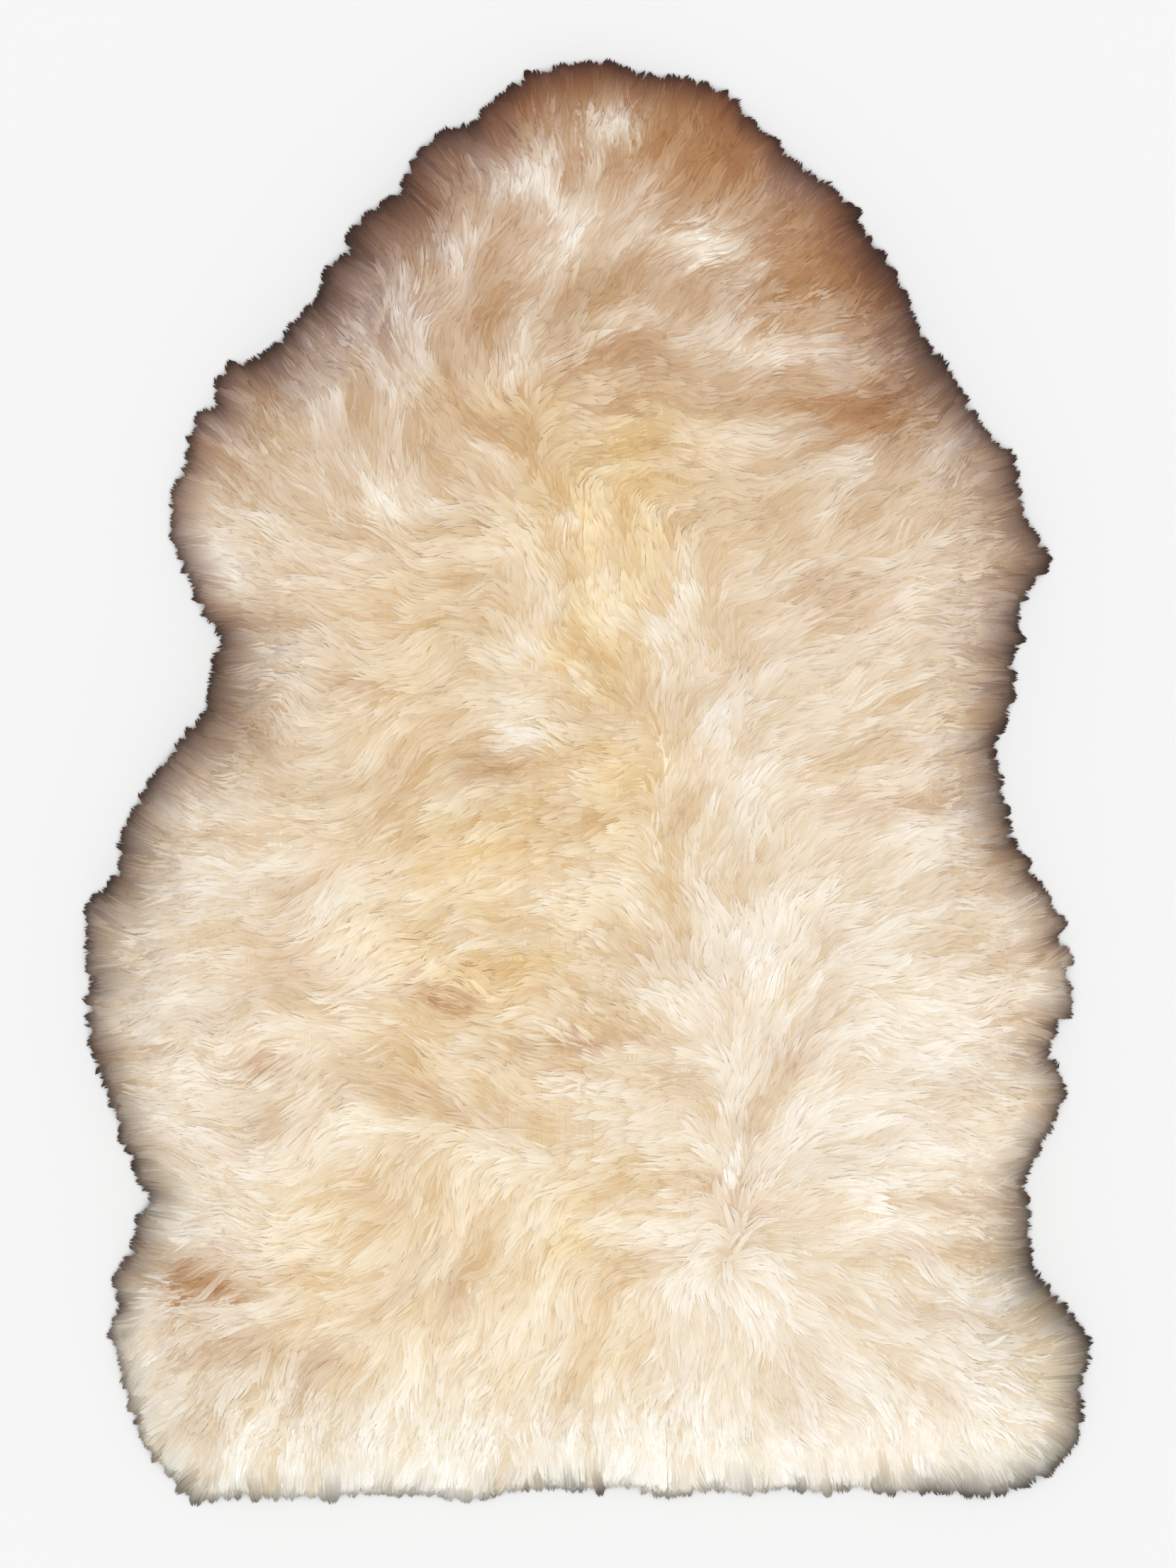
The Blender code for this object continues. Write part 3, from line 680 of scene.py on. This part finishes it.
# %% Under-wool
BED_CELL = 5.0
BED_INSET = 5.0  # how far inside the rim it ends
BED_SINK = 0.35  # how far it lies below the wool's top
BED_SOFTENED = 4  # times, as a stiff strand spans a hump like a chord
LOW_PILE = 6.0  # under this, it lies less far below
MATTED_SIZE, MATTED_DEPTH = 9.0, 0.15  # of the small lumps in its top
FELT_SPAN, FELT_STREAK = 8.0, 16.0  # how wide and how long its streaks of shade are
FELT_TONE, FELT_UNEVEN = 0.5, 0.2
FELT_ALONG = 0.8  # its colour is that of a strand this far from the root
FELT_COARSER = 4  # how many times as coarse its fibres are drawn as a strand's
BED_UNDERSIDE, ON_HIDE = 0.4, 2.0  # the height of its underside beside the hide, and on it

bpy.ops.object.select_all(action="DESELECT")
size = high[:2] - low[:2]
cells = (size / BED_CELL).round().astype(int)
bpy.ops.mesh.primitive_grid_add(x_subdivisions=cells[0], y_subdivisions=cells[1], size=1)
under_wool = bpy.context.object
under_wool.name = "under_wool"


def put(piece, places):
    """Moves a piece's vertices."""
    piece.data.vertices.foreach_set("co", (places * MM).ravel())
    piece.data.update()


bed = places_of(under_wool) * MM * (*size, 1) + (*(low + high)[:2] / 2, 0)
put(under_wool, bed)
too_far = read(depth, bed[:, :2]) < BED_INSET
bpy.ops.object.mode_set(mode="EDIT")
bpy.ops.mesh.select_mode(type="VERT")
bpy.ops.mesh.select_all(action="DESELECT")
bpy.ops.object.mode_set(mode="OBJECT")
under_wool.data.vertices.foreach_set("select", too_far)
bpy.ops.object.mode_set(mode="EDIT")
bpy.ops.mesh.delete(type="VERT")
bpy.ops.mesh.select_non_manifold()
bpy.ops.object.mode_set(mode="OBJECT")

# The cut edge is drawn out to its line, and the sheet is draped.
bed = places_of(under_wool)
is_edge = np.array([v.select for v in under_wool.data.vertices])
bed_depth = read(depth, bed[:, :2])
bed[is_edge, :2] += (read(way_out, bed[:, :2]) * (bed_depth - BED_INSET)[:, None])[is_edge]
matted = np.array([noise.noise(Vector(place) / MATTED_SIZE) for place in bed])
top = read(np.minimum(pile, softened(pile, BED_SOFTENED)), bed[:, :2])
bed[:, 2] = top - (BED_SINK + MATTED_DEPTH * matted) * np.clip(top / LOW_PILE, 0, 1)
put(under_wool, bed)

thicken = under_wool.modifiers.new("thicken", "SOLIDIFY")
thicken.thickness = MM
bpy.ops.object.modifier_apply(modifier=thicken.name)
draped, bed = len(bed), places_of(under_wool)
bed[draped:, :2] = bed[:draped, :2]
bed[draped:, 2] = np.where(heights_of(hide, bed[:draped, :2]) > 0, ON_HIDE, BED_UNDERSIDE)
put(under_wool, bed)
bpy.ops.object.shade_smooth()
under_wool.data.materials.append(matted_wool)
felt_tone = smeared(clouds(FELT_SPAN, 43.5), FELT_STREAK)
felt_tone = np.clip(FELT_TONE + FELT_UNEVEN * felt_tone / felt_tone.std(), 0, 1)
felt_tone, felt_along = read(felt_tone, bed[:, :2]), np.full(len(bed), FELT_ALONG)
set_looks(under_wool.data, bed[:, :2], felt_along, felt_tone, bed / FELT_COARSER)
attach(under_wool, "root")
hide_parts("fleece")
print("under_wool:", len(under_wool.data.polygons), "faces")

# %% [markdown]
# ## Locks
#
# Wool never lies as single hairs. Lanolin and crimp hold it in locks, a few millimetres wide, that
# narrow to a point, and what shows of a fleece is the tips of its locks, laid over each other like
# thatch. So the locks come first. Their middles are spread evenly over the rug, and each is traced
# along the comb both ways from there, so that no place stays bare. A lock that would reach over the
# rim ends there. More locks end right at the rim, in the teeth that wool makes along an edge.

# %% Locks
LOCK_SPACING = 7.3
LOCK_INSET = 3.0  # how far inside the rim the outermost middles are, at least
STATIONS = 9
LOCK_TURN = 0.16  # radians: how far a lock may turn from the comb
BACK_LENGTH, FLANK_LENGTH, FLANK_BEGINS = 26.0, 50.0, 150.0
LENGTH_SPREAD = 0.25
RIM_STRAY = (-3.0, 2.5)  # how far short of the rim a lock ends, or beyond it
SHORTEST, CUTS = 0.3, 36  # the least that is left of a lock at the rim, and lengths to try
TOOTH_LENGTH = 42.0
TOOTH_SHORT = (0.0, 3.0, 3.0)  # how far short of the rim three teeth for each packed lock end,
TOOTH_STRAY = (-1.5, 2.5)  # give or take this by chance
TOOTH_CLOUD_SPAN, TOOTH_CLOUD = 15.0, 3.0  # and this from place to place
rng = np.random.default_rng(11)


def turned(vectors, angle):
    """Flat vectors turned by an angle each."""
    x, y = vectors[..., 0], vectors[..., 1]
    return np.stack((x * np.cos(angle) - y * np.sin(angle), x * np.sin(angle) + y * np.cos(angle)), axis=-1)


def traced(start, steps, turns, count):
    """The points met on the way along the comb, or against it where steps are below 0."""
    path = [start]
    for _ in range(count):
        half_way = path[-1] + turned(unit(read(comb, path[-1])), turns) * steps[:, None] / 2
        path.append(path[-1] + turned(unit(read(comb, half_way)), turns) * steps[:, None])
    return path


def path_at(path, share):
    """Points along paths, each at its share of the way."""
    place = np.clip(share, 0, 1) * (STATIONS - KEPT_BACK)
    station = place.astype(int)
    part = (place - station)[:, None]
    every = np.arange(len(path))
    return path[every, station] * (1 - part) + path[every, station + 1] * part


# The middles stand in rows over the rug, each moved a little by chance.
across, up = (np.arange(low[axis], high[axis], LOCK_SPACING) for axis in (0, 1))
middles = np.stack(np.meshgrid(across, up), axis=-1).reshape(-1, 2)
middles = middles + rng.uniform(-0.5, 0.5, middles.shape) * LOCK_SPACING
middles = middles[read(depth, middles) > LOCK_INSET]
off_back = np.linalg.norm(from_back(middles), axis=1)
lock_length = BACK_LENGTH + (FLANK_LENGTH - BACK_LENGTH) * np.clip(off_back / FLANK_BEGINS, 0, 1)
lock_length *= 1 + LENGTH_SPREAD * rng.uniform(-1, 1, len(middles))
lock_turn = rng.normal(0, LOCK_TURN, len(middles))
half = (STATIONS - 1) // 2
step = lock_length / (STATIONS - 1)
ahead = traced(middles, step, lock_turn, half)
behind = traced(middles, -step, lock_turn, half)
lock_path = np.stack(behind[:0:-1] + ahead, axis=1)

teeth = bumped(filled(rim_tips, len(TOOTH_SHORT)))
short_by = np.tile(TOOTH_SHORT, len(rim_tips)) + rng.uniform(*TOOTH_STRAY, len(teeth))
short_by += TOOTH_CLOUD * read(clouds(TOOTH_CLOUD_SPAN, 44.5), teeth)
teeth = teeth - read(way_out, teeth) * short_by[:, None]
tooth_step = TOOTH_LENGTH * (1 + LENGTH_SPREAD * rng.uniform(-1, 1, len(teeth))) / (STATIONS - 1)
tooth_path = traced(teeth, -tooth_step, rng.normal(0, LOCK_TURN / 2, len(teeth)), STATIONS - 1)
lock_path = np.concatenate((lock_path, np.stack(tooth_path[::-1], axis=1)))
locks, plain = len(lock_path), len(middles)
is_tooth = np.arange(locks) >= plain

# Where each lock ends: at its tip, or where it meets the rim.
lock_end = np.ones(locks)
stop = rng.uniform(*RIM_STRAY, locks)
for share in np.linspace(1.0, SHORTEST, CUTS):
    outside = read(depth, path_at(lock_path, np.full(locks, share))) < -stop
    lock_end[outside & ~is_tooth] = share
at_rim = is_tooth | (lock_end < 1)
print(plain, "locks, and", locks - plain, "in the teeth of the rim")

# %% [markdown]
# A lock's shade comes from clouds that are smeared along the comb, as each lock takes the mean of
# what its path runs over. That gives long soft streaks. Dark locks lie low and pale ones on top. By
# chance, locks also differ in width, in the lift of their tips and in how far in the painted shade
# of the rim reaches on them.

# %% The locks' shades and heights
STREAK_SPAN, WIDE_STREAK_SPAN, WIDE_STREAKS = 8.0, 20.8, 0.5
MEAN_TONE, TONE_OF_STREAK, TONE_SPREAD = 0.40, 0.26, 0.09
TOP_LAYER, TONE_SINKS, LAYER_SPREAD = 0.12, 0.35, 0.045
LOCK_WIDTHS, TIP_LIFTS, RIM_SHADE_SPREAD = (6.0, 11.0), (-0.06, 0.2), 0.2
shade_clouds = clouds(STREAK_SPAN, 41.5) + WIDE_STREAKS * clouds(WIDE_STREAK_SPAN, 42.5)
streak = read(shade_clouds, lock_path).mean(axis=1)
streak = streak / streak.std()
lock_tone = MEAN_TONE + TONE_OF_STREAK * streak + TONE_SPREAD * rng.normal(0, 1, locks)
lock_tone = np.clip(lock_tone, 0, 1)
lock_layer = TOP_LAYER - TONE_SINKS * lock_tone + rng.normal(0, LAYER_SPREAD, locks)
lock_width = rng.uniform(*LOCK_WIDTHS, locks)
# How far in each lock's painted rim shade reaches, by chance.
lock_rim_shade = np.exp(rng.normal(0, RIM_SHADE_SPREAD, locks))
lock_lift = rng.uniform(*TIP_LIFTS, locks)
print("the locks' mean shade:", lock_tone.mean().round(2))

# %% [markdown]
# ## Strands
#
# A lock is drawn as a few strands that start apart and meet near the tip. A strand is a thin closed
# shape with three sides, wide in the middle and drawn out to a point. It has only sixteen triangles,
# as there are tens of thousands of them. All are worked out together as arrays, which is many times
# faster than adding them one by one. Each reads its tints a few millimetres off, so that a patch of
# colour ends in tufts, as on a real fleece, and not in a blur.

# %% Strands
STRAND_TOTAL = 57500
TOOTH_SHARE = 2.8  # how many times as many strands a lock of the rim has
RINGS = (0.0, 0.38, 0.76, 1.0)  # where along a strand its rings are; the last is its point
RIM_RINGS = (0.0, 0.42, 0.92, 1.0)  # the same at the rim, where strands are blunter
HALF_WIDTHS = (0.70, 1.25, 1.00, 0.0)  # of a strand at its rings
DEPTHS = (0.28, 0.40, 0.30, 0.0)
CORNERS = ((0, 0.3, 1.0), (-1, -0.7, -0.5), (1, -0.7, -0.5))  # aside, height, how much it faces up
ROUND = (len(CORNERS),) * 3 + (1,)  # how many corners each ring has
GATHER = (1.0, 0.96, 0.82, 0.60)  # how much of the lock's width is left at each ring
RIM_GATHER = (1.0, 0.95, 0.80, 0.50)  # the same at the rim
SINKS = (1.8, 0.25, 0.0, 0.0)  # how deep in the pile each ring lies
BEGINS, ENDS = (0.0, 0.12), (0.80, 1.0)  # where along its lock a strand begins and ends
RIM_UNEVEN = 0.3  # how uneven those ends are at the rim, where 1 is as elsewhere
CROWN = 0.09  # how much lower the lock's edges lie than its middle
HEIGHT_TOSS, TONE_TOSS = 0.03, 0.05  # how much chance adds to a strand's height and shade
LOOSE_PILE, LEAST_LOOSE = 10.0, 0.2  # in a lower pile than this, strands lie closer
GLANCE = 0.1  # how far each way along a lock its heading is judged
ROLL = 0.12  # radians
LOCK_STRAY, STRAND_STRAY = 4.0, 2.0  # how far from its place its tints are read
LOWEST = 0.7  # the height that no strand goes below


def strand_rings():
    """Each strand's middle line, its shade, how fast the rim's painted shade fades in it, and its stray."""
    weight = np.where(is_tooth, TOOTH_SHARE, 1.0)
    turn = (np.arange(STRAND_TOTAL) + 0.5) / STRAND_TOTAL * weight.sum()
    lock = np.minimum(np.searchsorted(np.cumsum(weight), turn), locks - 1)
    path = lock_path[lock]
    aside = rng.uniform(-1, 1, STRAND_TOTAL)
    begins = rng.uniform(*BEGINS, STRAND_TOTAL)
    ends = lock_end[lock] * rng.uniform(*ENDS, STRAND_TOTAL) ** np.where(at_rim[lock], RIM_UNEVEN, 1)
    height_off = lock_layer[lock] - CROWN * aside**2 + rng.normal(0, HEIGHT_TOSS, STRAND_TOTAL)
    rings = []
    for ring, rim_ring, gather, rim_gather, sink in zip(RINGS, RIM_RINGS, GATHER, RIM_GATHER, SINKS):
        share = begins + (ends - begins) * np.where(at_rim[lock], rim_ring, ring)
        middle = path_at(path, share)
        heading = unit(path_at(path, share + GLANCE) - path_at(path, share - GLANCE))
        across = np.stack((-heading[:, 1], heading[:, 0]), axis=-1)
        spread = np.where(at_rim[lock], rim_gather, gather)
        place = middle + across * (aside * lock_width[lock] / 2 * spread)[:, None]
        here = read(pile, place)
        loose = np.clip(here / LOOSE_PILE, LEAST_LOOSE, 1)
        z = here + (height_off - sink + lock_lift[lock] * ring**2) * loose
        rings.append(np.column_stack((place, np.maximum(z, LOWEST))))
    tone = np.clip(lock_tone[lock] + rng.normal(0, TONE_TOSS, STRAND_TOTAL), 0, 1)
    stray = rng.normal(0, LOCK_STRAY, (locks, 2))[lock] + rng.normal(0, STRAND_STRAY, (STRAND_TOTAL, 2))
    return np.stack(rings, axis=1), tone, lock_rim_shade[lock], stray


def strand_points(line):
    """Each strand's ten corners, three round each ring and its tip, and the ways they face out."""
    ahead = unit(np.gradient(line, axis=1))
    side = unit(np.cross(ahead, read(pile_normal, line[..., :2])))
    top = np.cross(side, ahead)
    roll = rng.uniform(-ROLL, ROLL, (len(line), 1, 1))
    side, top = side * np.cos(roll) + top * np.sin(roll), top * np.cos(roll) - side * np.sin(roll)
    points, faces_out = [], []
    for ring, (wide, deep) in enumerate(zip(HALF_WIDTHS[:-1], DEPTHS)):
        middle = line[:, ring]
        for across, over, up in CORNERS:
            points.append(middle + side[:, ring] * wide * across + top[:, ring] * deep * over)
            faces_out.append(unit(side[:, ring] * across + top[:, ring] * up))
    points.append(line[:, -1])
    faces_out.append(top[:, -1])
    return np.stack(points, axis=1), np.stack(faces_out, axis=1)


# The faces of one strand: a cap at its root, two bands of three, and three that meet at the tip.
SIDES = ((0, 1), (1, 2), (2, 0))
BANDS = tuple((r + a, r + 3 + a, r + 3 + b, r + b) for r in (0, 3) for a, b in SIDES)
POINT = tuple((6 + a, 9, 6 + b) for a, b in SIDES)
FACES = ((0, 1, 2), *BANDS, *POINT)
IS_UNDERSIDE = (False,) + (False, True, False) * 3  # which of them face down

# %% [markdown]
# Light doesn't stop at the skin of a wisp of wool. It goes through, and comes out all over, so that
# a fleece is shaded more like one soft surface than like many small rods. The strands get that look
# by their normals, which are leant towards the normal of the pile under them. On a strand's
# underside they are turned round, as a normal that points into its own face is shaded black.

# %% Strand meshes
SOFTNESS = 0.96  # how much of a strand's normal is the pile's
MAP_COLUMNS = 170  # strands side by side on the map
MAP_SIDE, MAP_END, CAP_END = 0.06, 0.04, 0.12  # how far inside its cell a strand is drawn
STREAKS_APART = 7.3  # mm, so that no two strands have the same streaks


def map_places(count, loops):
    """Where each corner lies on a flat map that has one cell for each strand, unrolled."""
    across = np.array((0.5, MAP_SIDE, 1 - MAP_SIDE) * 3 + (0.5,))[loops]
    along = (MAP_END + (1 - 2 * MAP_END) * np.repeat(RINGS, ROUND))[loops]
    along[0] = CAP_END  # so that the cap at the root isn't drawn as a line
    row, column = np.divmod(np.arange(count)[:, None], MAP_COLUMNS)
    map_rows = math.ceil(count / MAP_COLUMNS)
    return np.stack(((column + across) / MAP_COLUMNS, (row + along) / map_rows), axis=-1)


def strand_mesh(name, points, faces_out, tone, fades, stray):
    """One mesh of many strands, with their looks."""
    count, corner_count = points.shape[:2]
    loops = np.concatenate(FACES)
    sizes = [len(face) for face in FACES]
    starts = np.cumsum(sizes) - sizes
    mesh = bpy.data.meshes.new(name)
    mesh.vertices.add(count * corner_count)
    mesh.loops.add(count * len(loops))
    mesh.polygons.add(count * len(FACES))
    every = np.arange(count)[:, None]
    mesh.vertices.foreach_set("co", (points * MM).astype(np.float32).ravel())
    mesh.loops.foreach_set("vertex_index", (loops + every * corner_count).astype(np.int32).ravel())
    mesh.polygons.foreach_set("loop_start", (starts + every * len(loops)).astype(np.int32).ravel())
    mesh.update(calc_edges=True)
    mesh.shade_smooth()
    soft = unit(SOFTNESS * read(pile_normal, points[..., :2]) + (1 - SOFTNESS) * faces_out)
    shading = soft[:, loops]
    shading[:, np.repeat(IS_UNDERSIDE, sizes)] *= -1
    mesh.normals_split_custom_set(shading.reshape(-1, 3))
    flat_map = mesh.uv_layers.new(name="OFBake")
    flat_map.data.foreach_set("uv", map_places(count, loops).astype(np.float32).ravel())
    along = np.repeat(RINGS, ROUND)
    across = np.array((0, -1, 1) * 3 + (0,)) * np.repeat(HALF_WIDTHS, ROUND)
    length = np.linalg.norm(points[:, -1] - points[:, 0], axis=-1)[:, None]
    fibre = np.stack(np.broadcast_arrays(across, along * length, every * STREAKS_APART), axis=-1)
    tone = np.repeat(tone, corner_count)
    set_looks(mesh, points[..., :2], np.tile(along, count), tone, fibre, fades[:, None], stray[:, None])
    mesh.materials.append(combed_wool)
    made = bpy.data.objects.new(name, mesh)
    bpy.context.scene.collection.objects.link(made)
    return made


# %% [markdown]
# The strands are dealt out to five pieces along the rug, tail to neck, so that each stays small
# enough to be handled as a mesh of its own.

# %% Grow the wool
REGIONS = ("wool_tail", "wool_hips", "wool_waist", "wool_shoulders", "wool_neck")
line, tone, fades, stray = strand_rings()
points, faces_out = strand_points(line)
order = np.argsort(line[:, -1, 1])
wool = []
for name, chosen in zip(REGIONS, np.array_split(order, len(REGIONS))):
    piece = strand_mesh(name, *(part[chosen] for part in (points, faces_out, tone, fades, stray)))
    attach(piece, "root")
    wool.append(piece)
    print(name, len(chosen), "strands")

# %% [markdown]
# ## The hide
#
# The hide is seen only when the rug is turned over. It is tanned sheepskin with its flesh side out,
# buffed to a suede: matt, a little blotchy where the tan took unevenly, and with a fine nap.

# %% Hide material
BLOTCHES, NAP = 14.0, 900.0  # in a metre: blotches 70 mm wide, and a nap of about a millimetre
finish = {"Roughness": 0.95, "Specular IOR Level": 0.15, "Sheen Weight": 0.35}
material, tree, shader = new_material("buffed_suede", finish)
place = node(tree, "ShaderNodeTexCoord").outputs["Object"]
blotches = node(tree, "ShaderNodeTexNoise", {"Vector": place, "Scale": BLOTCHES, "Detail": 4.0})
nap = node(tree, "ShaderNodeTexNoise", {"Vector": place, "Scale": NAP, "Detail": 3.0})
layers = ((blotches.outputs["Fac"], colour("#E4D2B0"), "MIX"), (0.25, nap.outputs["Fac"], "OVERLAY"))
shade = layered(tree, colour("#CDB48D"), layers)
raised = {"Height": nap.outputs["Fac"], "Strength": 0.35, "Distance": 0.0004}
bump = node(tree, "ShaderNodeBump", raised)
fed(tree, shader, {"Base Color": shade, "Normal": bump.outputs["Normal"]})
hide.material_slots[0].material = material

# %% [markdown]
# ## The count of triangles
#
# The wool may stand a little proud of the imported solids. Here the triangles of all the pieces are
# counted.

# %% Count the triangles
meshes = [piece.data for piece in (under_wool, hide, *wool)]
print("triangles in all:", sum(len(mesh.loops) - 2 * len(mesh.polygons) for mesh in meshes))
